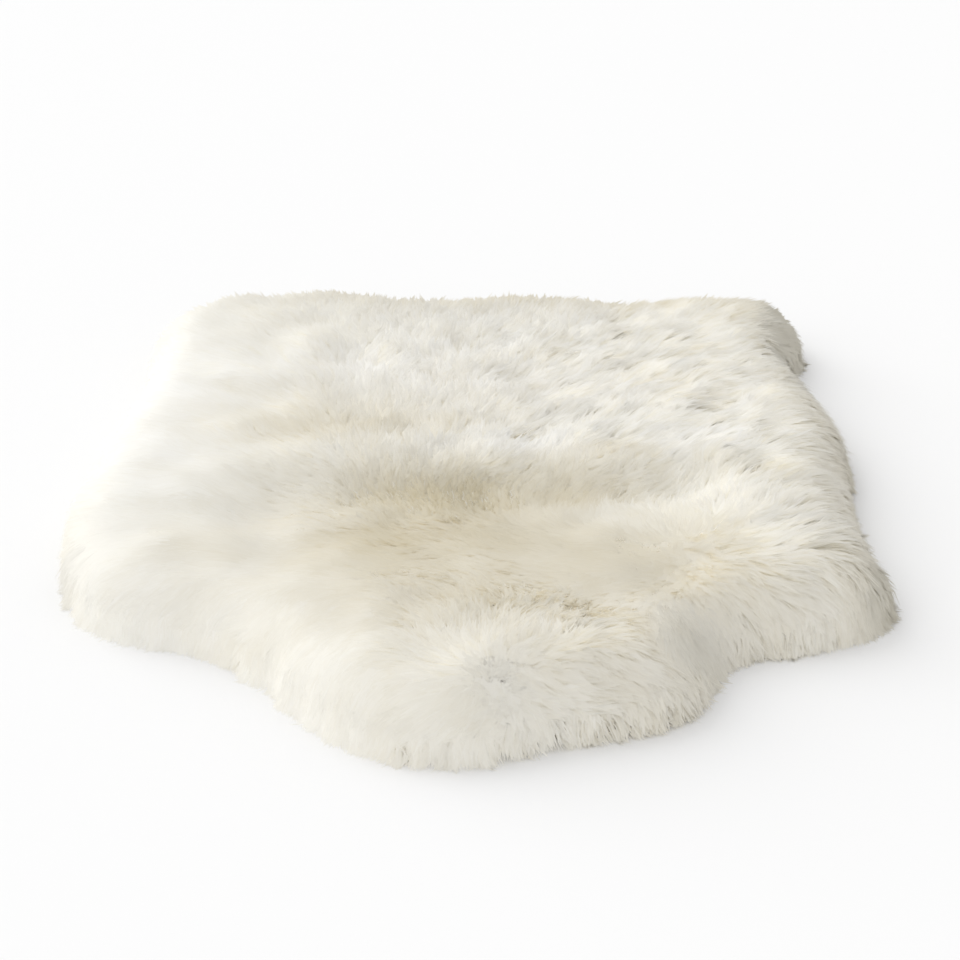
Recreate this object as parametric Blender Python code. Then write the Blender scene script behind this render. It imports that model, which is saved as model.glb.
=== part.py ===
# Sheepskin rug: one whole pelt, wool upwards, lying flat on its hide.
# The wool is one lumpy slab with short locks standing out all round its rim.
# Metres, +Z up. The origin is the middle of the rug's box, on the surface that it lies on.
# +Y runs from the tongue at the front, where the neck was, to the straighter rear edge.

import bmesh
import bpy
import numpy as np
from math import exp, sqrt
from mathutils import Vector, noise
from mathutils.geometry import interpolate_bezier
from mathutils.kdtree import KDTree

MM = 0.001

# Outline of the wool's tips seen from above, counter-clockwise (place, x, y), in mm.
# The four places named in CORNERS part it into the front, right, rear and left sides.
OUTLINE = [
    ("left lobe corner", -322, -215),
    ("left lobe front", -282, -265),
    ("left notch", -200, -298),
    ("tongue left notch side", -155, -350),
    ("tongue left side", -115, -412),
    ("tongue left", -65, -453),
    ("tongue tip", -10, -468),
    ("tongue right", 70, -440),
    ("tongue right shoulder", 140, -415),
    ("tongue right side", 180, -380),
    ("right notch above", 197, -328),
    ("right notch", 214, -300),
    ("front right lobe underside", 262, -290),
    ("front right lobe corner", 326, -256),
    ("front right lobe tip", 347, -208),
    ("front right lobe back", 340, -150),
    ("right dip", 335, -88),
    ("right bulge start", 343, 10),
    ("right bulge", 350, 90),
    ("right bulge end", 340, 190),
    ("rear right notch", 320, 288),
    ("rear right lobe front", 340, 345),
    ("rear right lobe tip", 338, 415),
    ("rear right lobe back", 298, 457),
    ("rear edge dip", 240, 450),
    ("rear edge small lobe", 200, 461),
    ("rear edge second dip", 152, 446),
    ("rear edge right", 65, 470),
    ("rear edge middle", -20, 456),
    ("rear edge before lobe", -85, 459),
    ("rear edge lobe", -140, 487),
    ("rear edge left", -205, 470),
    ("rear left lobe", -275, 445),
    ("rear left lobe side", -317, 395),
    ("left waist start", -323, 325),
    ("left waist", -318, 240),
    ("left side", -331, 100),
    ("left lobe start", -346, -30),
    ("left lobe", -344, -110),
]
CORNERS = ["left lobe corner", "front right lobe corner", "rear right lobe tip", "rear left lobe side"]

# Swells and sinks of the wool over its even height: middle (x, y), half widths and rise, in mm.
SWELLS = [
    ("front right mound", 245, -150, 80, 75, 9),
    ("central ridge", 0, 0, 170, 45, 5),
    ("rear right lobe", 270, 350, 60, 55, 5),
    ("rear left shoulder", -210, 330, 110, 90, 4),
    ("tongue crown", 25, -390, 95, 60, 4),
    ("left lobe hump", -270, -190, 60, 50, 3),
    ("right middle", 250, 60, 70, 60, 4),
    ("front right valley", 170, -250, 45, 60, -9),
    ("front left valley", -165, -215, 55, 60, -7),
    ("rear middle sink", 60, 190, 90, 40, -4),
]

# Steps where the wool drops towards the front and rises again slowly: ends, drop and run, in mm.
STEPS = [
    ("hollow in the middle", -150, -20, 165, -25, 21, 130),
    ("terrace on the left", -335, -95, -190, -75, 11, 90),
    ("terrace at the rear left", -300, 205, -60, 160, 10, 80),
    ("crease at the right", 200, -20, 330, -60, 7, 45),
]

# Side wall from the hide's edge up to the top: how far outside the wall's line, and how high, in mm.
WALL = [
    ("hide edge", -12, 0),
    ("lower row", 0, 12),
    ("middle row", 2, 25),
    ("upper row", -4, 38),
]

# One row of locks for each band of the wall: reach and droop of the lock's tip, in mm.
LOCK_ROWS = [
    ("on the floor", 20, 4),
    ("middle", 18, 9),
    ("top", 16, 10),
]

PILE_HEIGHT = 54 * MM          # even height of the wool away from the rim
SHOULDER_WIDTH = 45 * MM       # how far in from the wall the wool reaches its even height
STEP_STEEPNESS = 34 * MM       # how far a step takes to drop
STEP_END_FADE = 45 * MM        # how softly a step ends beyond its two ends
GRID_HALF = 24                 # rings of the top; a ring's side has twice as many faces
SIDE_COLUMNS = 2 * GRID_HALF   # faces along each of the rim's four sides
COLUMNS = 4 * SIDE_COLUMNS     # faces round the rim
GRID_RELAXING = 8              # rounds of evening out the top's grid
TUFT_SIZE = 42 * MM            # width of a tuft in the wool
TUFT_RISE = 7 * MM             # height of a tuft over the wool between tufts
FINE_TUFT_SIZE = 22 * MM
FINE_TUFT_RISE = 3 * MM
LOCK_BELLY_SHARE = 0.4         # where along a lock it is widest
LOCK_BELLY_WIDTH = 1.3         # width there, of the width at the root
LOCK_BELLY_DEPTH = 0.72        # thickness there, of the thickness at the root
LOCK_UNEVENNESS = 0.22         # share by which locks differ in reach
LOCK_SWAY = 5 * MM             # how far a tip leans along the rim
FLOOR_CLEARANCE = 0.6 * MM     # least height of a lock's belly and tip
OUTLINE_STEPS = 24             # points measured between two points of the outline
NOTCH_SOFTENING = 2            # columns to each side that set a column's outward direction
REACH_WAVE = 1.6               # columns over which the locks' reach changes
LEAN_WAVE = 4.3                # columns over which the locks' lean changes
LEAN_OFFSET = 50.0             # keeps the lean's pattern apart from the reach's

WOOL_COLOUR = (0.86, 0.83, 0.76, 1.0)
WOOL_ROUGHNESS = 0.9


def clear_scene():
    for thing in list(bpy.data.objects):
        bpy.data.objects.remove(thing, do_unlink=True)


def make_material(name, colour, roughness):
    material = bpy.data.materials.new(name)
    material.use_nodes = True
    shader = material.node_tree.nodes["Principled BSDF"]
    shader.inputs["Base Color"].default_value = colour
    shader.inputs["Roughness"].default_value = roughness
    shader.inputs["Metallic"].default_value = 0.0
    return material


def smooth_step(value):
    value = min(max(value, 0.0), 1.0)
    return value * value * (3.0 - 2.0 * value)


# ---- outline ----

def smooth_side(first, last):
    """The outline from one corner to the next as a dense curve, tangents along the neighbours."""
    points = [Vector((x * MM, y * MM, 0.0)) for _, x, y in OUTLINE]
    count = len(points)
    curve = []
    for index in range(first, last):
        before = points[(index - 1) % count]
        start = points[index % count]
        end = points[(index + 1) % count]
        after = points[(index + 2) % count]
        handle_out = start + (end - before) / 6.0
        handle_in = end - (after - start) / 6.0
        curve += interpolate_bezier(start, handle_out, handle_in, end, OUTLINE_STEPS + 1)[:-1]
    return curve + [points[last % count]]


def even_points(curve, count):
    """Points spaced evenly along an open curve, its last point left out."""
    lengths = [(after - point).length for point, after in zip(curve, curve[1:])]
    spacing = sum(lengths) / count
    points = []
    travelled = 0.0
    for index, length in enumerate(lengths):
        while len(points) < count and len(points) * spacing < travelled + length:
            share = (len(points) * spacing - travelled) / length
            points.append(curve[index].lerp(curve[index + 1], share))
        travelled += length
    return points


def outline_columns():
    """The rim's columns: the same number on each side, evenly spaced along it."""
    names = [name for name, _, _ in OUTLINE]
    starts = [names.index(corner) for corner in CORNERS]
    ends = starts[1:] + [starts[0] + len(OUTLINE)]
    columns = []
    for first, last in zip(starts, ends):
        columns += even_points(smooth_side(first, last), SIDE_COLUMNS)
    return columns


def outward_directions(columns):
    """The horizontal direction straight out of the rug at each column, softened at the notches."""
    directions = []
    for index in range(COLUMNS):
        along = columns[(index + NOTCH_SOFTENING) % COLUMNS] - columns[index - NOTCH_SOFTENING]
        directions.append(Vector((along.y, -along.x, 0.0)).normalized())
    return directions


# ---- height of the wool ----

def swell_height(x, y):
    total = 0.0
    for _, middle_x, middle_y, half_x, half_y, rise in SWELLS:
        across = (x / MM - middle_x) / half_x
        along = (y / MM - middle_y) / half_y
        total += rise * MM * exp(-across * across - along * along)
    return total


def step_drop(x, y):
    total = 0.0
    for _, x1, y1, x2, y2, drop, run in STEPS:
        start = Vector((x1, y1)) * MM
        direction = Vector((x2, y2)) * MM - start
        span = direction.length
        direction.normalize()
        offset = Vector((x, y)) - start
        along = offset.dot(direction)
        ahead = offset.x * direction.y - offset.y * direction.x
        beyond = max(-along, along - span, 0.0) / STEP_END_FADE
        share = smooth_step(ahead / STEP_STEEPNESS) * exp(-(max(ahead, 0.0) / (run * MM)) ** 2)
        total += drop * MM * share * exp(-beyond * beyond)
    return total


def tufts(x, y):
    coarse = noise.noise(Vector((x, y, 0.0)) / TUFT_SIZE)
    fine = noise.noise(Vector((x, y, 1.0)) / FINE_TUFT_SIZE)
    return coarse * TUFT_RISE + fine * FINE_TUFT_RISE


def wool_height(x, y, from_wall):
    """Height of the top at a place, rounded down to the wall over the shoulder's width."""
    rim = WALL[-1][2] * MM
    even = PILE_HEIGHT + swell_height(x, y) - step_drop(x, y)
    inward = min(from_wall / SHOULDER_WIDTH, 1.0)
    rounding = sqrt(1.0 - (1.0 - inward) ** 2)
    return rim + (even - rim) * rounding + tufts(x, y) * min(2.0 * inward, 1.0)


# ---- mesh ----

def side_of_grid(side, step):
    """Grid place, as row and column, of a step along one side of the top's square grid."""
    return [(0, step), (step, SIDE_COLUMNS), (SIDE_COLUMNS, SIDE_COLUMNS - step),
            (SIDE_COLUMNS - step, 0)][side]


def top_plan(top_edge):
    """Plan of the top: a square grid drawn out to the rim in rings, then evened out."""
    middle = sum(top_edge, Vector()) / COLUMNS
    plan = np.zeros((SIDE_COLUMNS + 1, SIDE_COLUMNS + 1, 2))
    plan[GRID_HALF, GRID_HALF] = middle.xy
    for ring in range(1, GRID_HALF + 1):
        for side in range(4):
            for step in range(2 * ring):
                row, column = side_of_grid(side, step + GRID_HALF - ring)
                inset = GRID_HALF - ring
                row = min(max(row, inset), SIDE_COLUMNS - inset)
                column = min(max(column, inset), SIDE_COLUMNS - inset)
                place = (side + step / (2 * ring)) * SIDE_COLUMNS
                before = top_edge[int(place) % COLUMNS]
                after = top_edge[(int(place) + 1) % COLUMNS]
                edge = before.lerp(after, place - int(place))
                plan[row, column] = middle.lerp(edge, ring / GRID_HALF).xy
    for _ in range(GRID_RELAXING):
        neighbours = plan[:-2, 1:-1] + plan[2:, 1:-1] + plan[1:-1, :-2] + plan[1:-1, 2:]
        plan[1:-1, 1:-1] = neighbours / 4.0
    return plan


def add_top(mesh, top_edge):
    """The top as a square grid drawn out to the rim; returns the rim's points in order."""
    plan = top_plan(top_edge)
    edge_tree = KDTree(COLUMNS)
    for index, point in enumerate(top_edge):
        edge_tree.insert((point.x, point.y, 0.0), index)
    edge_tree.balance()
    rim = [mesh.verts.new(point) for point in top_edge]
    grid = {}
    for side in range(4):
        for step in range(SIDE_COLUMNS):
            grid[side_of_grid(side, step)] = rim[side * SIDE_COLUMNS + step]
    for row in range(1, SIDE_COLUMNS):
        for column in range(1, SIDE_COLUMNS):
            x, y = plan[row, column]
            from_wall = edge_tree.find((x, y, 0.0))[2]
            grid[row, column] = mesh.verts.new((x, y, wool_height(x, y, from_wall)))
    for row in range(SIDE_COLUMNS):
        for column in range(SIDE_COLUMNS):
            corners = [(row, column), (row, column + 1), (row + 1, column + 1), (row + 1, column)]
            mesh.faces.new([grid[corner] for corner in corners])
    return rim


def add_wall(mesh, wall_line, outward, rim):
    """The side wall down to the hide's edge; returns its faces, one list for each row."""
    rings = []
    for _, outset, height in WALL[:-1]:
        ring = [wall_line[i] + outward[i] * outset * MM + Vector((0, 0, height * MM))
                for i in range(COLUMNS)]
        rings.append([mesh.verts.new(point) for point in ring])
    rings.append(rim)
    rows = []
    for lower, upper in zip(rings[:-1], rings[1:]):
        row = []
        for index in range(COLUMNS):
            after = (index + 1) % COLUMNS
            row.append(mesh.faces.new([lower[index], lower[after], upper[after], upper[index]]))
        rows.append(row)
    mesh.faces.new(list(reversed(rings[0])))
    return rows


def grow_lock(mesh, face, direction, reach, droop, sway):
    """Draws one wall face out into a four-sided lock, widest at its belly, with a pointed tip."""
    root = face.calc_center_median()
    travel = direction * reach + sway
    tip = root + travel + Vector((0, 0, -droop))
    tip.z = max(tip.z, FLOOR_CLEARANCE)
    belly = root + travel * LOCK_BELLY_SHARE + Vector((0, 0, -droop * LOCK_BELLY_SHARE ** 2))
    end = bmesh.ops.extrude_discrete_faces(mesh, faces=[face])["faces"][0]
    for corner in end.verts:
        offset = corner.co - root
        corner.co.x = belly.x + offset.x * LOCK_BELLY_WIDTH
        corner.co.y = belly.y + offset.y * LOCK_BELLY_WIDTH
        corner.co.z = max(belly.z + offset.z * LOCK_BELLY_DEPTH, FLOOR_CLEARANCE)
    point = bmesh.ops.poke(mesh, faces=[end])["verts"][0]
    point.co = tip


def unevenness(column, wave, row_index):
    """A smooth random value between about -1 and 1 that differs from lock to lock and row to row."""
    return 2.0 * noise.noise(Vector((column / wave, 3.7 * row_index, 0.5)))


def add_locks(mesh, rows, outward):
    """Locks on every second face of a row, each row one face further round than the last."""
    for row_index, (_, reach, droop) in enumerate(LOCK_ROWS):
        for column in range(row_index % 2, COLUMNS, 2):
            after = (column + 1) % COLUMNS
            direction = (outward[column] + outward[after]).normalized()
            along = Vector((-direction.y, direction.x, 0.0))
            length = reach * MM * (1.0 + LOCK_UNEVENNESS * unevenness(column, REACH_WAVE, row_index))
            lean = LOCK_SWAY * unevenness(column + LEAN_OFFSET, LEAN_WAVE, row_index)
            grow_lock(mesh, rows[row_index][column], direction, length, droop * MM, along * lean)


def centre_on_floor(mesh):
    """Puts the origin in the middle of the box, on the underside."""
    lows = [min(vert.co[axis] for vert in mesh.verts) for axis in range(3)]
    highs = [max(vert.co[axis] for vert in mesh.verts) for axis in range(3)]
    middle = Vector(((lows[0] + highs[0]) / 2, (lows[1] + highs[1]) / 2, lows[2]))
    bmesh.ops.translate(mesh, verts=mesh.verts, vec=-middle)


def make_sheepskin(material):
    longest_lock = max(reach for _, reach, _ in LOCK_ROWS) * MM
    tips = outline_columns()
    outward = outward_directions(tips)
    wall_line = [point - out * longest_lock for point, out in zip(tips, outward)]
    _, top_outset, top_height = WALL[-1]
    top_edge = [point + out * top_outset * MM + Vector((0, 0, top_height * MM))
                for point, out in zip(wall_line, outward)]
    mesh = bmesh.new()
    rim = add_top(mesh, top_edge)
    rows = add_wall(mesh, wall_line, outward, rim)
    add_locks(mesh, rows, outward)
    centre_on_floor(mesh)
    data = bpy.data.meshes.new("sheepskin")
    mesh.to_mesh(data)
    mesh.free()
    data.materials.append(material)
    data.shade_smooth()
    rug = bpy.data.objects.new("sheepskin", data)
    bpy.context.collection.objects.link(rug)
    return rug


clear_scene()
make_sheepskin(make_material("cream wool", WOOL_COLOUR, WOOL_ROUGHNESS))
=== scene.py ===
import math
import bpy
import bmesh
import numpy as np
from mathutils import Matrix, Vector, noise
from mathutils.bvhtree import BVHTree
from mathutils.geometry import tessellate_polygon
from mathutils.kdtree import KDTree


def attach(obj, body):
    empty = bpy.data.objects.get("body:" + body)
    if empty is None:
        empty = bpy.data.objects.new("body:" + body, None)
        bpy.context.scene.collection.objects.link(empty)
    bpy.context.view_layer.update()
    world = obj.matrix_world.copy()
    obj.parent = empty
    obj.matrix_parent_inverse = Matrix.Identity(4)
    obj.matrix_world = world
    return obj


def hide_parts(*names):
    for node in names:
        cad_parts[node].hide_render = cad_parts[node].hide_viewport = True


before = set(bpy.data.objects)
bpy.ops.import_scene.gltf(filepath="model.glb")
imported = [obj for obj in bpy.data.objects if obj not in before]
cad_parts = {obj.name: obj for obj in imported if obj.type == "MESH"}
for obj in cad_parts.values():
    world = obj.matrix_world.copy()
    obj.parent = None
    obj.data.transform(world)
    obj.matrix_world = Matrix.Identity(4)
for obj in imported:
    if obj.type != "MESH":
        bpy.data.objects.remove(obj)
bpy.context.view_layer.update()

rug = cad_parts["sheepskin"]
mm = 0.001
print("frame loaded:", rug.name)


# camera and stage

view = {
    "target": (10 * mm, 55 * mm, 0.0),
    "distance": 2.232,          # metres from the target to the lens
    "elevation": 23.0,          # degrees above the floor
    "fieldOfView": 22.0,        # degrees across the square frame
    "sensor": 36.0,
}

studio = {
    "sky": 0.870,               # strength of the white surround
    "sun": 1.55,                # low daylight from behind and to the left
    "sunFrom": (-0.64, 0.64, 0.42),
    "fill": 0.60,               # weaker light from the front left
    "fillFrom": (-0.64, -0.64, 0.42),
    "spread": 50.0,             # degrees across; larger is softer
    "bounces": 10,              # light goes deep into white wool
    "floorSize": 30.0,
    "floorDrop": 0.5 * mm,      # below the rug, so that the two never flicker
    "floorColour": (0.847, 0.847, 0.847),
    "floorRoughness": 0.9,
    "floorShine": 0.1,
}


def aim(thing, target):
    thing.rotation_mode = "QUATERNION"
    thing.rotation_quaternion = (Vector(target) - thing.location).to_track_quat("-Z", "Y")


def makeCamera():
    tilt = math.radians(view["elevation"])
    lens = bpy.data.cameras.new("camera")
    lens.sensor_width = view["sensor"]
    lens.lens = view["sensor"] / 2 / math.tan(math.radians(view["fieldOfView"]) / 2)
    camera = bpy.data.objects.new("camera", lens)
    bpy.context.collection.objects.link(camera)
    away = Vector((0.0, -math.cos(tilt), math.sin(tilt))) * view["distance"]
    camera.location = Vector(view["target"]) + away
    aim(camera, view["target"])
    bpy.context.scene.camera = camera


def makeSun(name, strength, place):
    lamp = bpy.data.lights.new(name, "SUN")
    lamp.energy = strength
    lamp.angle = math.radians(studio["spread"])
    thing = bpy.data.objects.new(name, lamp)
    bpy.context.collection.objects.link(thing)
    thing.location = place
    aim(thing, (0.0, 0.0, 0.0))


def makeStage():
    scene = bpy.context.scene
    scene.view_settings.view_transform = "Standard"
    scene.cycles.diffuse_bounces = studio["bounces"]
    scene.world = bpy.data.worlds.new("studio")
    scene.world.use_nodes = True
    sky = scene.world.node_tree.nodes["Background"]
    sky.inputs["Color"].default_value = (1.0, 1.0, 1.0, 1.0)
    sky.inputs["Strength"].default_value = studio["sky"]
    makeSun("daylight", studio["sun"], studio["sunFrom"])
    makeSun("fill", studio["fill"], studio["fillFrom"])
    below = (0.0, 0.0, -studio["floorDrop"])
    bpy.ops.mesh.primitive_plane_add(size=studio["floorSize"], location=below)
    floor = bpy.context.object
    floor.name = "floor"
    paint = bpy.data.materials.new("white floor")
    paint.use_nodes = True
    shader = paint.node_tree.nodes["Principled BSDF"]
    shader.inputs["Base Color"].default_value = (*studio["floorColour"], 1.0)
    shader.inputs["Roughness"].default_value = studio["floorRoughness"]
    shader.inputs["Specular IOR Level"].default_value = studio["floorShine"]
    floor.data.materials.append(paint)


makeCamera()
makeStage()
print("camera and stage made")


# helpers

def addNode(tree, kind, **settings):
    node = tree.nodes.new(kind)
    for name, value in settings.items():
        setattr(node, name, value)
    return node


def newMaterial(name, roughness):
    material = bpy.data.materials.new(name)
    material.use_nodes = True
    shader = material.node_tree.nodes["Principled BSDF"]
    shader.inputs["Roughness"].default_value = roughness
    return material, material.node_tree, shader


def setRamp(node, stops):
    ramp = node.color_ramp
    while len(ramp.elements) > 1:
        ramp.elements.remove(ramp.elements[-1])
    ramp.elements[0].position, ramp.elements[0].color = stops[0][0], (*stops[0][1], 1.0)
    for place, colour in stops[1:]:
        ramp.elements.new(place).color = (*colour, 1.0)


def unit(vectors):
    return vectors / np.maximum(np.linalg.norm(vectors, axis=-1, keepdims=True), 1e-9)


def dot(a, b):
    return (a * b).sum(axis=-1, keepdims=True)


def between(pair, share):
    return pair[0] + (pair[1] - pair[0]) * share


seeds = {                       # another seed gives another, equally random, fleece
    "lumps": 3.0,
    "swirl": 11.0,
    "fineSwirl": 17.0,
    "tone": 23.0,
    "tufts": (31.0, 37.0, 41.0),
    "curl": (43.0, 47.0),
    "proud": 53.0,
    "wisps": 7,
    "dense": 5,
}


def waves(points, size, seed):
    # smooth noise between about -1 and 1, one value for each point
    return np.array([2.0 * noise.noise(Vector(p) / size + Vector((seed, 0.0, 0.0)))
                     for p in points])


def closeness(plan, x, y, reach):
    # 1 at a place given in mm, fading with the distance from it
    offset = plan - np.array((x, y)) * mm
    return np.exp(-(offset ** 2).sum(axis=1) / (reach * mm) ** 2)


def spots(table, places):
    # the strengths of a table's places, added up
    total = np.zeros(len(places))
    for _, x, y, reachX, reachY, strength in table:
        across = (places[:, 0] / mm - x) / reachX
        along = (places[:, 1] / mm - y) / reachY
        total += strength * np.exp(-across ** 2 - along ** 2)
    return total


# combing: which way the wool lies

# place in mm, angle in degrees (0 to the right, 90 to the rear), lean (0 upright, 1 flat),
# length (1 is full), definition (0 smooth, 1 clear locks)
combing = [
    ("rear left corner", -260, 380, 150, 0.70, 0.9, 0.05),
    ("rear edge left", -123, 396, 88, 0.40, 0.7, 0.40),
    ("rear edge middle", -20, 400, 80, 0.40, 0.7, 0.60),
    ("rear edge right", 91, 395, 65, 0.50, 0.7, 0.65),
    ("rear edge far right", 172, 380, 30, 0.65, 0.9, 0.60),
    ("rear right lobe", 260, 365, 10, 0.80, 0.9, 0.40),
    ("rear left", -217, 250, 160, 0.80, 0.9, 0.05),
    ("left terrace", -230, 160, 185, 0.85, 0.9, 0.10),
    ("rear middle left", -110, 200, 85, 0.55, 0.8, 0.40),
    ("rear middle", 0, 200, 60, 0.60, 0.8, 0.65),
    ("rear middle right", 90, 200, 40, 0.70, 0.9, 0.75),
    ("right rear", 190, 200, 5, 0.85, 1.0, 0.80),
    ("right rear rim", 290, 220, 0, 0.90, 1.0, 0.80),
    ("left", -283, 39, 180, 0.85, 0.9, 0.05),
    ("left middle", -180, 60, 150, 0.75, 0.9, 0.10),
    ("ridge left", -80, 25, 88, 0.40, 0.8, 0.50),
    ("ridge middle", 0, 25, 72, 0.45, 0.8, 0.70),
    ("ridge right", 70, 40, 35, 0.70, 1.0, 0.80),
    ("ridge far right", 130, 50, 20, 0.75, 1.0, 0.80),
    ("right", 220, 60, 0, 0.85, 1.0, 0.80),
    ("left lobe rear", -290, -90, 185, 0.85, 0.9, 0.00),
    ("left lobe", -237, -200, 205, 0.85, 0.9, 0.00),
    ("hollow left", -150, -70, 180, 0.80, 0.8, 0.05),
    ("hollow middle", -24, -70, 80, 0.45, 0.6, 0.40),
    ("hollow right", 90, -90, 20, 0.70, 0.8, 0.10),
    ("hollow front left", -94, -210, 200, 0.80, 0.8, 0.05),
    ("hollow front", 0, -200, 185, 0.70, 0.7, 0.10),
    ("hollow front right", 90, -210, 190, 0.80, 0.8, 0.00),
    ("tongue left", -80, -339, 215, 0.85, 0.9, 0.05),
    ("tongue middle", 10, -340, 90, 0.50, 0.7, 0.30),
    ("tongue right", 80, -340, 0, 0.80, 0.8, 0.90),
    ("tongue far right", 144, -350, 355, 0.85, 0.8, 0.80),
    ("tongue front left", -60, -440, 235, 0.80, 1.0, 0.25),
    ("tongue front right", 100, -430, 340, 0.80, 0.8, 0.80),
    ("mound crown", 165, -200, 0, 0.60, 0.8, 0.05),
    ("mound rear", 200, -110, 60, 0.75, 1.1, 0.70),
    ("mound right rear", 260, -130, 30, 0.80, 1.2, 1.00),
    ("mound right", 265, -190, 0, 0.80, 1.3, 1.00),
    ("mound front right", 245, -245, 320, 0.80, 1.3, 1.00),
    ("mound front", 200, -285, 300, 0.80, 1.2, 0.80),
    ("front right lobe", 320, -260, 350, 0.85, 0.8, 0.10),
]

# places that the wool fans out from: place and reach in mm, strength
crowns = [
    ("front right mound", 175, -195, 100, 5.0),
    ("tongue crown", 24, -432, 60, 5.0),
]

# places where the wool is matted smooth: place and reach in mm
calm = [
    ("mound crown", 150, -200, 60),
    ("in front of the mound", 110, -250, 60),
    ("hollow right", 80, -130, 60),
    ("left of the tongue", -110, -330, 80),
    ("tongue crown", 24, -432, 25),
    ("valley in front of the mound", 165, -320, 55),
    ("front right lobe", 325, -275, 40),
]

# where long wool stands proud and overhangs: a part of a ring, its middle, radius and width in mm,
# and the direction in degrees of its middle
ruffs = [
    ("front right mound", 165, -185, 95, 22, -15),
]

flow = {
    "reach": 75,                # mm that each row of the combing carries
    "calming": 0.95,            # how much smoother the calm places are
    "crownLoose": 0.45,         # how far out wool stands loose at a crown, of the crown's reach
    "standing": 0.25,           # how much less wool leans where it is loose
    "rimReach": 45 * mm,        # how near the rim the wool starts to fall outwards
    "rimStrength": 2.5,
    "rimSharpness": 3.0,
    "rimCalm": (40 * mm, 0.8),  # reach, and how much smoother the rim is
    "gravity": 0.5,             # pull down the slopes
    "swirlSize": 55 * mm,       # waves in the combing
    "swirl": 26.0,              # degrees
    "fineSwirlSize": 20 * mm,
    "fineSwirl": 22.0,
}


def wayOut(places):
    # distance in plan from each place to the rug's edge, and the direction towards it
    corners = np.array([v.co for v in rug.data.vertices])
    edge = corners[corners[:, 2] < 0.1 * mm]
    tree = KDTree(len(edge))
    for index, point in enumerate(edge):
        tree.insert((point[0], point[1], 0.0), index)
    tree.balance()
    found = [tree.find((x, y, 0.0)) for x, y, _ in places]
    near = np.array([hit[0][:2] for hit in found])
    return np.array([hit[2] for hit in found]), unit(near)


def combAt(places, normals):
    # the wool's direction along the surface, and its lean, length, definition, looseness, proudness
    plan = places[:, :2]
    way = np.zeros((len(places), 2))
    nature = np.zeros((len(places), 3))
    weightSum = np.full(len(places), 1e-9)
    for _, x, y, angle, lean, length, definition in combing:
        weight = closeness(plan, x, y, flow["reach"])
        turn = math.radians(angle)
        way += weight[:, None] * np.array((math.cos(turn), math.sin(turn)))
        nature += weight[:, None] * np.array((lean, length, definition))
        weightSum += weight
    way /= weightSum[:, None]
    nature /= weightSum[:, None]
    for _, x, y, reach in calm:
        nature[:, 2] *= 1.0 - flow["calming"] * closeness(plan, x, y, reach)
    crowning = np.zeros(len(places))
    for _, x, y, reach, strength in crowns:
        weight = strength * closeness(plan, x, y, reach)
        way += weight[:, None] * unit(plan - np.array((x, y)) * mm)
        crowning = np.maximum(crowning, closeness(plan, x, y, flow["crownLoose"] * reach))
    distance, outward = wayOut(places)
    nature[:, 2] *= 1.0 - flow["rimCalm"][1] * np.exp(-(distance / flow["rimCalm"][0]) ** 2)
    pull = flow["rimStrength"] * np.exp(-(distance / flow["rimReach"]) ** 2 * flow["rimSharpness"])
    way += pull[:, None] * outward
    parted = np.clip(1.2 - 1.5 * np.linalg.norm(way, axis=1), 0.0, 1.0)
    loose = np.maximum(parted, crowning) * np.clip(distance / flow["rimReach"], 0.0, 1.0)
    nature[:, 0] *= 1.0 - flow["standing"] * loose
    way = unit(way)
    turn = np.radians(flow["swirl"] * waves(places, flow["swirlSize"], seeds["swirl"])
                      + flow["fineSwirl"] * waves(places, flow["fineSwirlSize"], seeds["fineSwirl"]))
    cosine, sine = np.cos(turn), np.sin(turn)
    way = np.stack([way[:, 0] * cosine - way[:, 1] * sine,
                    way[:, 0] * sine + way[:, 1] * cosine], axis=1)
    steep = np.sqrt(np.clip(1.0 - normals[:, 2] ** 2, 0.0, 1.0))
    comb = np.column_stack([way, -flow["gravity"] * steep])
    comb = unit(comb - normals * dot(comb, normals))
    proud = np.zeros(len(places))
    for _, x, y, radius, width, angle in ruffs:
        offset = plan - np.array((x, y)) * mm
        apart = np.linalg.norm(offset, axis=1)
        turn = math.radians(angle)
        toward = offset @ (math.cos(turn), math.sin(turn)) / np.maximum(apart, mm)
        toward = np.clip(toward, 0.0, 1.0)
        proud += np.exp(-((apart - radius * mm) / (width * mm)) ** 2) * toward ** 2
    return comb, np.column_stack([nature, loose, proud])


# fleece: the dense wool under the wisps

fleece = {
    "voxel": 8 * mm,            # also the spacing of the staples
    "smoothing": (0.5, 12),     # strength and rounds
    "depth": (2.5 * mm, 5.5 * mm),  # how far it lies under smooth wool and under clear locks
    "fullLean": 0.6,            # lean at which a lock is at its clearest
    "rimDepth": 1 * mm,         # added at the foot of the sides
    "sideHeight": 40 * mm,
    "floorGap": 2.5 * mm,       # room for the hide
    "lumpSize": 16 * mm,
    "lumpRise": 1.2 * mm,
}


def remeshedRug():
    # an even, closed skin over the rug's solid, its rim locks melted into a soft edge
    mesh = rug.data.copy()
    skin = bpy.data.objects.new("fleece", mesh)
    bpy.context.collection.objects.link(skin)
    remesh = skin.modifiers.new("even", "REMESH")
    remesh.mode = "VOXEL"
    remesh.voxel_size = fleece["voxel"]
    smooth = skin.modifiers.new("soft", "SMOOTH")
    smooth.factor, smooth.iterations = fleece["smoothing"]
    bpy.context.view_layer.update()
    evaluated = skin.evaluated_get(bpy.context.evaluated_depsgraph_get())
    done = bpy.data.meshes.new_from_object(evaluated)
    skin.modifiers.clear()
    skin.data = done
    skin.data.materials.clear()
    return skin


def meshArrays(mesh):
    places = np.zeros(len(mesh.vertices) * 3)
    mesh.vertices.foreach_get("co", places)
    normals = np.zeros(len(mesh.vertices) * 3)
    mesh.vertices.foreach_get("normal", normals)
    return places.reshape(-1, 3), normals.reshape(-1, 3)


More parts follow.
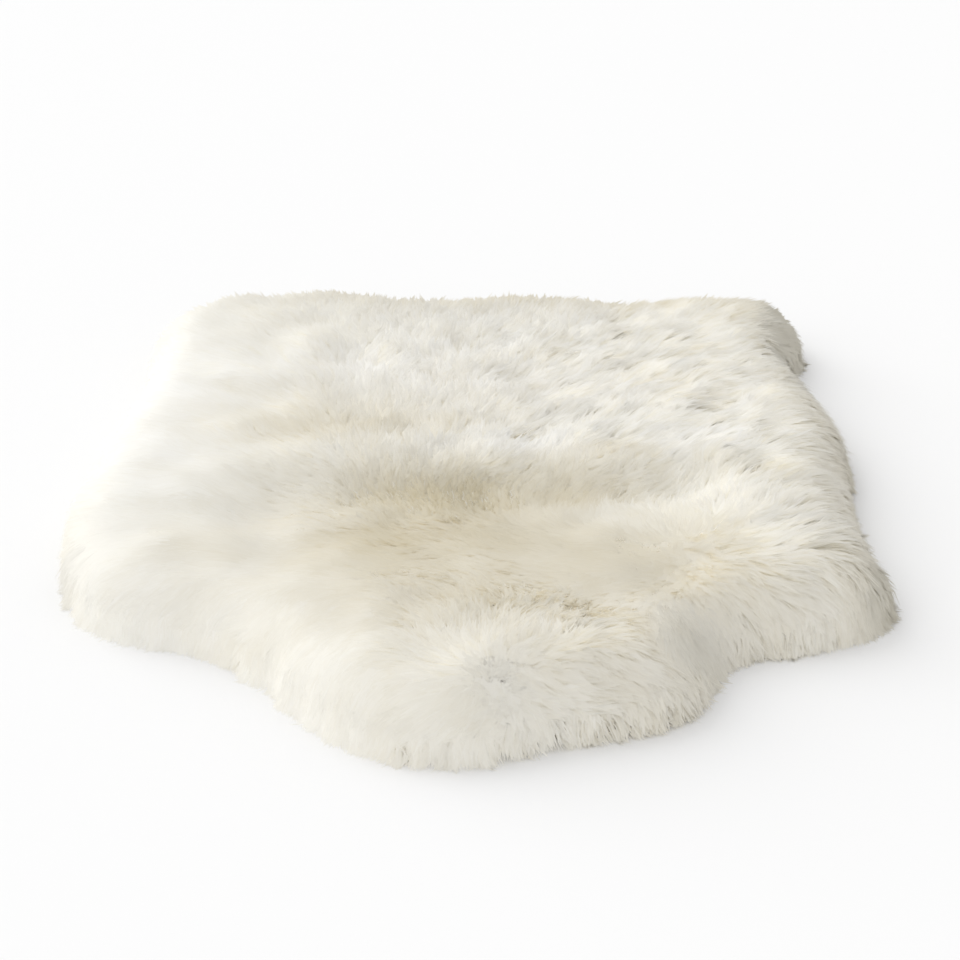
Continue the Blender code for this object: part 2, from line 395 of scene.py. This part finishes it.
def faceArrays(mesh):
    count = len(mesh.polygons)
    centres, normals = np.zeros(count * 3), np.zeros(count * 3)
    mesh.polygons.foreach_get("center", centres)
    mesh.polygons.foreach_get("normal", normals)
    return centres.reshape(-1, 3), normals.reshape(-1, 3)


def sinkFleece(skin):
    # moves the skin in under the wisps, but not its flat underside
    places, normals = meshArrays(skin.data)
    nature = combAt(places, normals)[1]
    definition = nature[:, 2:3] * np.minimum(nature[:, :1] / fleece["fullLean"], 1.0)
    lumps = waves(places, fleece["lumpSize"], seeds["lumps"])[:, None] * fleece["lumpRise"] * definition
    inward = np.clip(1.0 + normals[:, 2:3], 0.0, 1.0)
    foot = np.clip(1.2 - places[:, 2:] / fleece["sideHeight"], 0.0, 1.0)
    steep = (1.0 - normals[:, 2:3] ** 2) * foot
    depth = between(fleece["depth"], definition) - lumps + fleece["rimDepth"] * steep
    places = places - normals * depth * inward
    places[:, 2] = np.maximum(places[:, 2], fleece["floorGap"])
    skin.data.vertices.foreach_set("co", places.ravel())
    skin.data.update()
    skin.data.shade_smooth()


skin = remeshedRug()
faceCentres, faceNormals = faceArrays(skin.data)
skinPoints = [v.co.copy() for v in skin.data.vertices]
skinFaces = [list(p.vertices) for p in skin.data.polygons]
sinkFleece(skin)
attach(skin, "root")
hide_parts("sheepskin")
print("fleece made:", len(skin.data.polygons), "faces")


# wisps: fine ribbons of wool, a staple of them for each face of the skin

# pairs are for smooth wool and for clear locks, where their note says nothing else
wisps = {
    "perStaple": 15,
    "segments": 3,
    "lowest": 5 * mm,           # height of the lowest roots
    "undercut": -0.2,           # how far down the skin may face where wool grows
    "length": 42 * mm,
    "lengthSpread": 0.15,
    "reach": (0.8, 1.1),        # from and to, of its staple's length
    "upright": (-18 * mm, -9 * mm, -2 * mm, 4 * mm),  # heights along upright wool, from the skin
    "flat": (-13 * mm, -3 * mm, 0.5 * mm, 1 * mm),    # and along wool that lies flat
    "shallow": 0.2,             # how deep smooth wool goes, of that
    "travel": (0.15, 0.35, 0.35),  # how far each stretch goes over the skin, of its length
    "uprightTravel": 0.25,      # share of that where wool stands upright
    "parting": (0.75, 0.2),     # how much less it goes where wool parts
    "looseParting": 0.7,        # how little that counts where it is loose
    "lookBack": 0.4,            # how far behind its root a staple feels for a parting
    "tousle": 1.3,              # radians that wool turns where it is loose
    "stapleRadius": 6.0 * mm,
    "broadRadius": 0.6,         # of that, for its broad wisps
    "thickness": 1.8 * mm,
    "tipGather": (0.95, 0.30),  # width at the tips, of that at the root: smooth wool, clear locks
    "stray": (1.5 * mm, 1.2 * mm),
    "lift": (0.0 * mm, 2.5 * mm),  # added at the tips
    "liftSpread": 1.5 * mm,
    "proudness": (0.6, 2.0),    # how much of it each staple has alone, and with its lock
    "ruff": 6.0 * mm,           # how far proud wool stands off
    "rimLift": 2.0 * mm,        # how far wool stands off the sides
    "hang": 0.1,                # how far outwards it hangs from them
    "drop": (0.0, 0.3),         # how far up the sides face where it starts to hang, from and to
    "hangFacing": 0.5,
    "sway": 0.12,               # how far it hangs sideways
    "flare": 3.0 * mm,          # and how far its tips spread over the floor
    "flareHeight": 18.0 * mm,
    "floorFacing": 0.8,         # how far wool near the floor is lit as if it faced up
    "curl": (2.0 * mm, 5.0 * mm),  # how far a staple bends sideways
    "curling": (0.6, 1.5),      # how much of it each staple has alone, and with its lock
    "rounding": (0.02, 0.32),   # how far the shading turns round a staple
    "unevenness": (0.01, 0.03),
    "colours": (0.2, 0.56),     # which of the colours from root to tip it has; smooth wool takes deeper ones, painted shade for the shade that its wisps, which light goes past, don't give
    "gradient": (0.1, 0.75),    # and how much of the change between them it shows
    "levelAt": 0.6,             # how far up a wisp it has that very colour
    "lightest": 0.85,
    "softness": 0.35,           # least share of the wisps that light goes past
    "rimFacing": (0.6, 0.4),    # how far up the skin faces where the rim begins, and the change to it
    "sideFacing": 0.45,         # and where the side begins
    "rimFineness": 0.9,         # how few of the rim's wisps are broad
    "lockSize": 26 * mm,        # staples bend together in locks
    "tuftSize": 20 * mm,        # broader tufts
    "tuftTilt": 0.16,
    "frizz": (0.25 * mm, 0.5 * mm),
    "broadWidth": 2.8 * mm,
    "fineWidth": 1.1 * mm,
    "widths": (0.35, 0.65),     # half widths, from and to, of those
    "broadShare": (0.7, 0.35),  # of the wisps
    "breadth": (1.3, 1.0),      # how much broader smooth wool's wisps are
    "jitter": 3.5 * mm,         # how far staples sit off their face's middle
    "floor": 0.8 * mm,
    "toneSpread": 0.03,
    "shading": 0.05,            # share of a clear lock's broad wisps that shade the others
    "ruffShading": 1.5,         # added where wool stands proud, of that
    "rimShading": 0.05,         # and share of the sides' inner wisps
    "bands": (4, 2),            # pieces of smooth and of soft wool, from the front to the rear
}

crimp = {
    "places": [("hollow heart", -24, -88, 55, 20, 1.0),  # place and reach in mm, share of the staples
               ("hollow front", -30, -255, 26, 12, 1.0)],
    "perStaple": 22,
    "segments": 9,
    "wave": 1.3 * mm,
    "waves": 3.5,               # along a wisp
    "fineWidth": 0.9 * mm,
    "broadWidth": 0.9 * mm,
    "broadShare": (0.0, 0.0),
    "toneSpread": 0.35,
}

woolColour = {
    # deep is the ramp's end for painted shade, bright its end for painted light
    "deep": (0.66, 0.645, 0.585),
    "root": (0.80, 0.780, 0.710),
    "middle": (0.845, 0.83, 0.765),
    "tip": (0.87, 0.862, 0.822),
    "bright": (0.93, 0.923, 0.885),
    "white": (0.995, 1.0, 1.03),  # tint of the whitest wool
    "warm": (0.76, 0.705, 0.575),  # and of the warmest
    "dense": 0.45,              # how far up the wisps' colours the dense wool's is
    "tone": 0.16,               # 0 is the whitest wool, 1 the warmest
    "toneWaves": 0.06,
    "toneWaveSize": 30 * mm,
    "toneSpread": 0.05,         # from staple to staple, in clear locks
    "roughness": 0.62,
    "shine": 0.25,
    "through": 0.3,             # share of the light that passes through a wisp
    "denseThrough": 0.12,       # and into the dense wool
}

creamAndPaintedShade = [                   # where the wool is creamier, partly its own cream and partly painted shade, as the warm tint is also darker; rows below 0 are whiter, painted light: place and reach in mm, strength
    ("hollow heart", -24, -82, 75, 34, 0.5),
    ("hollow", 0, -160, 125, 105, 0.6),
    ("hollow left", -68, -200, 50, 60, 0.25),
    ("hollow front", 10, -310, 130, 60, 0.32),
    ("mound", 130, -200, 80, 70, 0.15),
    ("tongue", 60, -400, 120, 70, 0.08),
    ("rear right lobe", 315, 310, 45, 80, 0.15),
    ("valley", 115, -15, 36, 28, 0.4),
    ("left of the ridge", -95, 30, 90, 40, 0.2),
    ("left terrace", -120, 60, 130, 60, 0.25),
    ("left lobe heart", -215, -195, 50, 55, 0.22),
    ("mound front", 165, -235, 50, 40, 0.25),
    ("left rim", -350, -120, 35, 130, 0.25),
    ("ridge", 60, 2, 130, 30, -0.14),
    ("rear middle", 0, 160, 190, 75, 0.08),
    ("notch", 98, -88, 42, 28, 0.25),
    ("front right lobe", 330, -265, 45, 70, 0.12),
    ("left", -260, 120, 110, 240, -0.12),
    ("left lobe", -290, -170, 70, 90, -0.20),
    ("right rim", 350, 0, 45, 350, 0.3),
    ("right of the hollow", 100, -125, 45, 30, -0.15),
    ("rear edge", 120, 405, 260, 45, 0.35),
]

paintedLightAndShade = [                   # painted light and shade: where the wool's colour is made lighter for light falling on it and deeper for shadow: place and reach in mm, strength
    ("left", -310, 60, 140, 330, 0.50),
    ("left lobe", -200, -260, 110, 60, 0.30),
    ("rear middle", 20, 150, 150, 80, 0.20),
    ("ridge", 55, -16, 70, 14, 0.45),
    ("rear middle left", -107, 190, 70, 50, 0.25),
    ("pocket by the rear right lobe", 322, 195, 28, 35, -0.60),
    ("behind the mound", 222, -60, 40, 45, -0.25),
    ("right of the ridge", 188, 5, 40, 30, 0.30),
    ("right of the hollow", 135, -165, 45, 30, 0.15),
    ("tongue", 20, -440, 70, 30, 0.20),
    ("left of the tongue", -130, -390, 90, 60, 0.35),
    ("hollow", 0, -165, 120, 50, -0.12),
    ("hollow front", 0, -290, 90, 40, -0.08),
    ("right of the tongue", 165, -345, 80, 75, -0.15),
    ("right rim", 350, -160, 50, 120, -0.50),
    ("rear right edge", 265, 430, 60, 30, -0.80),
    ("rear right lobe", 318, 300, 38, 75, -1.00),
    ("right of the rear", 345, 60, 40, 130, -0.40),
    ("left rim", -335, -180, 70, 100, -0.50),
]


def woolMaterial(name, passing):
    # colour is read from the wool's own map: tone across it, root to tip up it
    material, tree, shader = newMaterial(name, woolColour["roughness"])
    shader.inputs["Specular IOR Level"].default_value = woolColour["shine"]
    place = addNode(tree, "ShaderNodeUVMap", uv_map="OFBake")
    split = addNode(tree, "ShaderNodeSeparateXYZ")
    along = addNode(tree, "ShaderNodeValToRGB")
    # the deep and bright ends carry painted shade and painted light
    setRamp(along, [(0.0, woolColour["deep"]),
                    (0.15, woolColour["root"]),
                    (0.45, woolColour["middle"]),
                    (0.85, woolColour["tip"]),
                    (1.0, woolColour["bright"])])
    tone = addNode(tree, "ShaderNodeValToRGB")
    setRamp(tone, [(0.02, woolColour["white"]), (0.98, woolColour["warm"])])
    mix = addNode(tree, "ShaderNodeMix", data_type="RGBA", blend_type="MULTIPLY")
    mix.inputs["Factor"].default_value = 1.0
    through = addNode(tree, "ShaderNodeBsdfTranslucent")
    blend = addNode(tree, "ShaderNodeMixShader")
    facing = addNode(tree, "ShaderNodeNewGeometry")
    share = addNode(tree, "ShaderNodeMapRange")  # a wisp looks the same from its back
    share.inputs["To Min"].default_value = passing
    share.inputs["To Max"].default_value = 1.0 - passing
    output = tree.nodes["Material Output"]
    tree.links.new(place.outputs["UV"], split.inputs["Vector"])
    tree.links.new(split.outputs["X"], tone.inputs["Fac"])
    tree.links.new(split.outputs["Y"], along.inputs["Fac"])
    tree.links.new(along.outputs["Color"], mix.inputs["A"])
    tree.links.new(tone.outputs["Color"], mix.inputs["B"])
    tree.links.new(mix.outputs["Result"], shader.inputs["Base Color"])
    tree.links.new(mix.outputs["Result"], through.inputs["Color"])
    tree.links.new(facing.outputs["Backfacing"], share.inputs["Value"])
    tree.links.new(share.outputs["Result"], blend.inputs["Fac"])
    tree.links.new(shader.outputs["BSDF"], blend.inputs[1])
    tree.links.new(through.outputs["BSDF"], blend.inputs[2])
    tree.links.new(blend.outputs["Shader"], output.inputs["Surface"])
    return material


def stapleTone(places, definition, random):
    uneven = woolColour["toneWaves"] * waves(places, woolColour["toneWaveSize"], seeds["tone"])
    uneven = uneven + random.normal(0.0, woolColour["toneSpread"], len(places)) * definition
    # creamier places add tone, partly painted shade; whiter places take it away, painted light
    return woolColour["tone"] + uneven + spots(creamAndPaintedShade, places)


def makeStaples(random):
    # staples on the top and sides of the skin, each a guide line that follows the skin
    tree = BVHTree.FromPolygons(skinPoints, skinFaces)
    wayThere, natureThere = combAt(faceCentres, faceNormals)
    grows = (faceNormals[:, 2] > wisps["undercut"]) & (faceCentres[:, 2] > wisps["lowest"])
    rows = np.flatnonzero(grows)
    rows = rows[np.argsort(faceCentres[rows, 1], kind="stable")]
    nature, way = natureThere[rows], wayThere[rows]
    turn = (nature[:, 3] * random.normal(0.0, wisps["tousle"], len(rows)))[:, None]
    way = way * np.cos(turn) + np.cross(faceNormals[rows], way) * np.sin(turn)
    wander = random.uniform(-1.0, 1.0, (len(rows), 2, 1)) * wisps["jitter"]
    place = faceCentres[rows] + way * wander[:, 0] + np.cross(faceNormals[rows], way) * wander[:, 1]

    # how far each goes, less where wool parts
    uneven = 1.0 + random.normal(0.0, wisps["lengthSpread"], len(rows))
    full = wisps["length"] * nature[:, 1] * uneven
    behind = place - way * full[:, None] * wisps["lookBack"]
    before = wayThere[[tree.find_nearest(point)[2] for point in behind]]
    parting = 1.0 - np.clip(dot(way, before), 0.0, 1.0)[:, 0]
    parting = parting * between(wisps["parting"], nature[:, 2])
    parting = parting * (1.0 - wisps["looseParting"] * nature[:, 3])
    travel = full * between((wisps["uprightTravel"], 1.0), nature[:, 0]) * (1.0 - parting)

    # its three steps over the skin, which hang where the sides are steep
    drop = random.uniform(*wisps["drop"], len(rows))
    sway = random.normal(0.0, wisps["sway"], (len(rows), 1))
    places, normals, ways = [place], [faceNormals[rows]], [way]
    for share in wisps["travel"]:
        step = (travel * share)[:, None]
        hits = [tree.find_nearest(point) for point in places[-1] + ways[-1] * step]
        index = np.array([hit[2] for hit in hits])
        under = (faceNormals[index, 2] < drop)[:, None]
        outward = unit(normals[-1] * (1.0, 1.0, 0.0))
        sideways = np.cross(outward, (0.0, 0.0, 1.0))
        hanging = unit(outward * wisps["hang"] + sideways * sway - (0.0, 0.0, 1.0))
        normal = np.where(under, unit(outward + (0.0, 0.0, wisps["hangFacing"])), faceNormals[index])
        agree = np.clip(dot(ways[-1], wayThere[index]), 0.0, 1.0)
        onward = ways[-1] + wayThere[index] * agree
        onward = unit(onward - normal * dot(onward, normal))
        places.append(np.where(under, places[-1] + hanging * step, [hit[0] for hit in hits]))
        normals.append(normal)
        ways.append(np.where(under, hanging, onward))
    places, normals, ways = (np.stack(part, axis=1) for part in (places, normals, ways))

    # and its heights off the skin
    heights = between((np.array(wisps["upright"]), np.array(wisps["flat"])), nature[:, :1])
    size = (full / wisps["length"])[:, None]
    depth = between((wisps["shallow"], 1.0), nature[:, 2:3])
    heights = heights * np.where(heights > 0.0, size, depth)
    heights[:, 3] += between(wisps["lift"], nature[:, 2])
    alone, together = wisps["proudness"]
    proud = random.normal(0.0, alone, len(rows))
    proud = proud + together * waves(place, wisps["lockSize"], seeds["proud"])
    proud *= wisps["liftSpread"] * nature[:, 2]
    rise = np.array((0.5, 1.0))  # most of it at the tip
    heights[:, 2:] += proud[:, None] + nature[:, 4:] * rise * wisps["ruff"]
    steep = np.sqrt(np.clip(1.0 - normals[..., 2] ** 2, 0.0, 1.0))
    heights[:, 2:] += steep[:, 2:] * rise * wisps["rimLift"]
    return places, normals, ways, heights, nature


def smoothness(definition):
    # 1 for smooth wool, 0 for clear locks
    return np.clip(1.1 - definition / 0.5, 0.0, 1.0)


def colourRibbons(staples, settings, pick, tone, broad, inner, random):
    # each ribbon's tone, its span of the colours, and whether it shades others or lets light past
    nature = staples[4][pick]
    facingUp = staples[1][pick, 0, 2]
    definition = nature[:, 2]
    tone = np.clip(tone[pick] + random.normal(0.0, settings["toneSpread"], len(pick)), 0.0, 1.0)
    clear = np.clip((definition - 0.3) / 0.5, 0.0, 1.0)
    share = clear * wisps["shading"] * (1.0 + wisps["ruffShading"] * nature[:, 4])
    share = np.where(broad, share, 0.0)
    share = np.where(facingUp < wisps["sideFacing"], wisps["rimShading"] * inner, share)
    shades = random.uniform(0.0, 1.0, len(pick)) < share
    # smooth wool's deeper level is painted shade
    smooth = smoothness(definition)
    # the table's lighter and deeper rows add painted light and painted shade to the level
    level = between(wisps["colours"], 1.0 - smooth) + spots(paintedLightAndShade, staples[0][:, 0])[pick]
    level = np.minimum(level, wisps["lightest"])
    span = np.column_stack([level, between(wisps["gradient"], definition)])
    sleek = random.uniform(0.0, 1.0, len(pick)) < np.maximum(smooth, wisps["softness"])
    return tone, span, shades, ~shades & sleek


def growRibbons(staples, settings, random):
    # ribbon vertices (ribbons, rows, 2 sides, xyz), their shading normals and how they are coloured
    places, normals, ways, heights, nature = staples
    count, segments = settings["perStaple"], settings["segments"]
    tone = stapleTone(places[:, 0], nature[:, 2], random)
    alone, together = wisps["curling"]
    curl = random.normal(0.0, alone, (len(places), 2))
    bends = [waves(places[:, 0], wisps["lockSize"], seed) for seed in seeds["curl"]]
    curl += together * np.stack(bends, axis=1)
    tufts = [waves(places[:, 1], wisps["tuftSize"], seed) for seed in seeds["tufts"]]
    pick = np.repeat(np.arange(len(places)), count)
    total = len(pick)
    definition = nature[pick, 2][:, None]
    reach = random.uniform(*wisps["reach"], (total, 1, 1))
    along = np.linspace(0.0, 3.0, segments + 1)[None, :, None] * reach
    below = np.clip(np.floor(along).astype(int), 0, 2)

    def read(values):
        # a staple's four values, read at each row of its ribbons
        values = values[pick].reshape(total, 4, -1)
        low = np.take_along_axis(values, below, axis=1)
        high = np.take_along_axis(values, below + 1, axis=1)
        return low + (high - low) * (along - below)

    normal, way = unit(read(normals)), unit(read(ways))
    across = unit(np.cross(normal, way))
    t = along / 3.0

    # where in its staple each ribbon sits
    rimFrom, rimRange = wisps["rimFacing"]
    rim = np.clip((rimFrom - normals[pick, 0, 2:]) / rimRange, 0.0, 1.0) * wisps["rimFineness"]
    broadShare = between(settings["broadShare"], definition) * (1.0 - rim)
    broad = random.uniform(0.0, 1.0, (total, 1)) < broadShare
    angle = random.uniform(0.0, 2.0 * math.pi, (total, 1))
    radius = np.sqrt(random.uniform(0.0, 1.0, (total, 1))) * np.where(broad, wisps["broadRadius"], 1.0)
    sideways = (radius * np.cos(angle))[:, None]
    forward = (radius * np.sin(angle))[:, None]
    upward = random.uniform(-1.0, 1.0, (total, 1, 1))
    inner = upward[:, 0, 0] < 0.0
    gather = between(wisps["tipGather"], definition)[:, None]
    spread = wisps["stapleRadius"] * (1.0 + (gather - 1.0) * t ** 0.8)

    # its middle line
    curl = (curl[pick] * between(wisps["curl"], definition))[:, None]
    stray = random.normal(0.0, 1.0, (total, 3)) * between(wisps["stray"], definition)
    frizz = random.normal(0.0, 1.0, (total, segments + 1, 3))
    frizz = frizz * between(wisps["frizz"], definition)[:, None]
    bend = curl[..., :1] * t * t + curl[..., 1:] * 0.5 * np.sin(2.0 * math.pi * t)
    if "wave" in settings:
        phase = random.uniform(0.0, 2.0 * math.pi, (total, 1, 1))
        swing = 2.0 * math.pi * settings["waves"] * t
        bend = bend + settings["wave"] * np.sin(swing + phase)
        upward = upward + settings["wave"] / wisps["thickness"] * np.cos(swing * 1.3 + phase)
    centre = (read(places) + normal * (read(heights) + upward * wisps["thickness"] * t)
              + across * (sideways * spread + bend) + way * forward * wisps["stapleRadius"]
              + stray[:, None] * t * t + frizz * t)
    low = np.clip(1.0 - centre[..., 2:] / wisps["flareHeight"], 0.0, 1.0)
    centre = centre + normal * np.array((1.0, 1.0, 0.0)) * low * t * wisps["flare"]

    # which way it faces, and its width, greatest half way up
    uneven = random.normal(0.0, 1.0, (total, 3)) * between(wisps["unevenness"], definition)
    uneven = uneven + np.stack(tufts, axis=1)[pick] * wisps["tuftTilt"] * definition
    rounding = between(wisps["rounding"], definition)[:, None]
    floorLight = low * (0.0, 0.0, wisps["floorFacing"])
    facing = unit(normal + across * sideways * rounding + uneven[:, None] + floorLight)
    side = unit(np.cross(unit(np.gradient(centre, axis=1)), facing))
    share = np.linspace(0.0, 1.0, segments + 1)
    taper = (0.3 + 1.9 * share - 2.2 * share ** 3)[None, :, None]
    width = np.where(broad, settings["broadWidth"], settings["fineWidth"])
    width = width * between(wisps["breadth"], definition)
    half = taper * width[:, None] * random.uniform(*wisps["widths"], (total, 1, 1))
    ribbon = np.stack([centre - side * half, centre + side * half], axis=2)
    ribbon[..., 2] = np.maximum(ribbon[..., 2], wisps["floor"])
    shading = np.stack([facing, facing], axis=2)
    return ribbon, shading, *colourRibbons(staples, settings, pick, tone, broad[:, 0], inner, random)


def mapAcross(tone):
    # keeps the tones off the edges of the wool's map
    return 0.03 + 0.94 * tone


def tipJoined(rows):
    # the last row's two sides become one tip
    flat = rows.reshape(len(rows), -1, 3)
    return np.concatenate([flat[:, :-2], (flat[:, -2:-1] + flat[:, -1:]) / 2], axis=1)


def ribbonMesh(name, ribbon, shading, tone, span):
    # one mesh of many ribbons, each ending in a single tip point
    count, rows = ribbon.shape[:2]
    points = tipJoined(ribbon)
    each = points.shape[1]
    quads = np.array([[2 * r, 2 * r + 1, 2 * r + 3, 2 * r + 2] for r in range(rows - 2)])
    corners = np.concatenate([quads.ravel(), [each - 3, each - 2, each - 1]])
    starts = np.arange(rows - 1) * 4
    base = np.arange(count)[:, None]
    loops = (corners[None, :] + base * each).ravel()
    loopStarts = (starts[None, :] + base * len(corners)).ravel()
    mesh = bpy.data.meshes.new(name)
    mesh.vertices.add(count * each)
    mesh.vertices.foreach_set("co", points.ravel())
    mesh.loops.add(len(loops))
    mesh.loops.foreach_set("vertex_index", loops)
    mesh.polygons.add(len(loopStarts))
    mesh.polygons.foreach_set("loop_start", loopStarts)
    mesh.update(calc_edges=True)
    share = np.minimum(np.arange(each) // 2 / (rows - 1), 1.0) * 0.96 + 0.02
    side = np.tile([-1.0, 1.0], rows)[:each] * 0.004
    side[-1] = 0.0
    mapU = mapAcross(tone[:, None]) + side[None, :]
    mapV = np.clip(span[:, :1] + (share[None, :] - wisps["levelAt"]) * span[:, 1:], 0.01, 0.99)
    layer = mesh.uv_layers.new(name="OFBake")
    maps = np.stack([mapU.ravel()[loops], mapV.ravel()[loops]], axis=1)
    layer.data.foreach_set("uv", maps.ravel())
    mesh.normals_split_custom_set_from_vertices(tipJoined(shading).reshape(-1, 3))
    thing = bpy.data.objects.new(name, mesh)
    bpy.context.collection.objects.link(thing)
    return thing


def addWool(name, ribbons, group, material, shades=False, blocks=True):
    piece = ribbonMesh(name, *(part[group] for part in ribbons[:4]))
    piece.data.materials.append(material)
    piece.visible_shadow = shades  # daylight soaks through all but the outer wool
    piece.visible_diffuse = blocks  # and the light around gets into smooth wool too
    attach(piece, "root")


def makeWisps():
    random = np.random.default_rng(seeds["wisps"])
    material = woolMaterial("wool wisps", woolColour["through"])
    staples = makeStaples(random)
    print("staples:", len(staples[0]))
    ribbons = growRibbons(staples, wisps, random)
    shades, sleek = ribbons[4:]
    smoothBands, softBands = wisps["bands"]
    for index, group in enumerate(np.array_split(np.flatnonzero(sleek), smoothBands)):
        addWool("smoothWool_%d" % (index + 1), ribbons, group, material, blocks=False)
    for index, group in enumerate(np.array_split(np.flatnonzero(~shades & ~sleek), softBands)):
        addWool("softWool_%d" % (index + 1), ribbons, group, material)
    addWool("outerWool", ribbons, np.flatnonzero(shades), material, shades=True)
    print("ribbons:", len(shades), "smooth:", int(sleek.sum()), "shading:", int(shades.sum()))
    chosen = random.uniform(0.0, 1.0, len(staples[0])) < spots(crimp["places"], staples[0][:, 0])
    ribbons = growRibbons([part[chosen] for part in staples], crimp, random)
    addWool("crimpedWool", ribbons, np.arange(len(ribbons[4])), material)
    print("crimped ribbons:", len(ribbons[4]))


def colourFleece(skin):
    # the dense wool has the colour that the wisps have near their roots, with their painted light and
    # shade
    centres, normals = faceArrays(skin.data)
    random = np.random.default_rng(seeds["dense"])
    tone = np.clip(stapleTone(centres, np.zeros(len(centres)), random), 0.0, 1.0)
    smooth = smoothness(combAt(centres, normals)[1][:, 2])
    # smooth dense wool is deeper, painted shade, and the table adds painted light and shade
    dense = between((wisps["colours"][0], woolColour["dense"]), 1.0 - smooth)
    dense = np.clip(dense + spots(paintedLightAndShade, centres), 0.01, wisps["lightest"])
    sides = np.zeros(len(centres), dtype=int)
    skin.data.polygons.foreach_get("loop_total", sides)
    maps = np.column_stack([np.repeat(mapAcross(tone), sides), np.repeat(dense, sides)])
    layer = skin.data.uv_layers.new(name="OFBake")
    layer.data.foreach_set("uv", maps.ravel())
    skin.data.materials.append(woolMaterial("dense wool", woolColour["denseThrough"]))
    places, facing = meshArrays(skin.data)
    low = np.clip(1.0 - places[:, 2:] / wisps["flareHeight"], 0.0, 1.0)
    facing = unit(facing + low * (0.0, 0.0, wisps["floorFacing"]))
    skin.data.normals_split_custom_set_from_vertices(facing)


makeWisps()
colourFleece(skin)
print("wisps made")


# hide: the thin tanned skin that the wool grows from, flat on the floor

hide = {
    "thickness": 1.8 * mm,
    "inset": 3.0 * mm,
    "colour": (0.78, 0.70, 0.57),
    "shade": (0.70, 0.61, 0.47),
    "cloudScale": 14.0,
    "cloudDetail": 6.0,
    "roughness": 0.9,
}


def hideOutline():
    # walks round the edge of the solid's flat underside
    shape = bmesh.new()
    shape.from_mesh(rug.data)
    bmesh.ops.remove_doubles(shape, verts=shape.verts, dist=0.01 * mm)
    shape.verts.index_update()
    under = {face for face in shape.faces
             if face.normal.z < -0.99 and face.calc_center_median().z < 0.2 * mm}
    after = {}
    for face in under:
        for loop in face.loops:
            others = [other for other in loop.edge.link_faces if other not in under]
            if others:
                after[loop.vert.index] = loop.link_loop_next.vert.index
    start = min(after)
    ring, here = [start], after[start]
    while here != start:
        ring.append(here)
        here = after[here]
    shape.verts.ensure_lookup_table()
    outline = [shape.verts[index].co.xy.copy() for index in ring]
    shape.free()
    return outline[::-1]


def hideMaterial():
    material, tree, shader = newMaterial("tanned hide", hide["roughness"])
    place = addNode(tree, "ShaderNodeTexCoord")
    cloud = addNode(tree, "ShaderNodeTexNoise")
    cloud.inputs["Scale"].default_value = hide["cloudScale"]
    cloud.inputs["Detail"].default_value = hide["cloudDetail"]
    ramp = addNode(tree, "ShaderNodeValToRGB")
    setRamp(ramp, [(0.35, hide["shade"]), (0.65, hide["colour"])])
    tree.links.new(place.outputs["Object"], cloud.inputs["Vector"])
    tree.links.new(cloud.outputs["Fac"], ramp.inputs["Fac"])
    tree.links.new(ramp.outputs["Color"], shader.inputs["Base Color"])
    return material


def hideRing():
    # the outline set in by the inset, starting from its frontmost corner, and the area inside it
    shape = bmesh.new()
    face = shape.faces.new([shape.verts.new((point.x, point.y, 0.0)) for point in hideOutline()])
    shape.normal_update()
    bmesh.ops.inset_region(shape, faces=[face], thickness=hide["inset"], use_even_offset=True)
    ring = [vert.co.copy() for vert in face.verts]
    area = face.calc_area()
    shape.free()
    first = ring.index(min(ring, key=lambda point: (point.y, point.x)))
    return ring[first:] + ring[:first], area


def makeHide():
    ring, area = hideRing()
    count = len(ring)
    under = tessellate_polygon([ring])
    faces = under + [[count + corner for corner in face] for face in under]
    for here in range(count):
        onward = (here + 1) % count
        faces.append([here, onward, count + onward, count + here])
    raised = [point + Vector((0.0, 0.0, hide["thickness"])) for point in ring]
    mesh = bpy.data.meshes.new("hide")
    mesh.from_pydata(ring + raised, [], faces)
    shape = bmesh.new()
    shape.from_mesh(mesh)
    bmesh.ops.recalc_face_normals(shape, faces=shape.faces)
    shape.to_mesh(mesh)
    shape.free()
    mesh.materials.append(hideMaterial())
    thing = bpy.data.objects.new("hide", mesh)
    bpy.context.collection.objects.link(thing)
    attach(thing, "root")


makeHide()
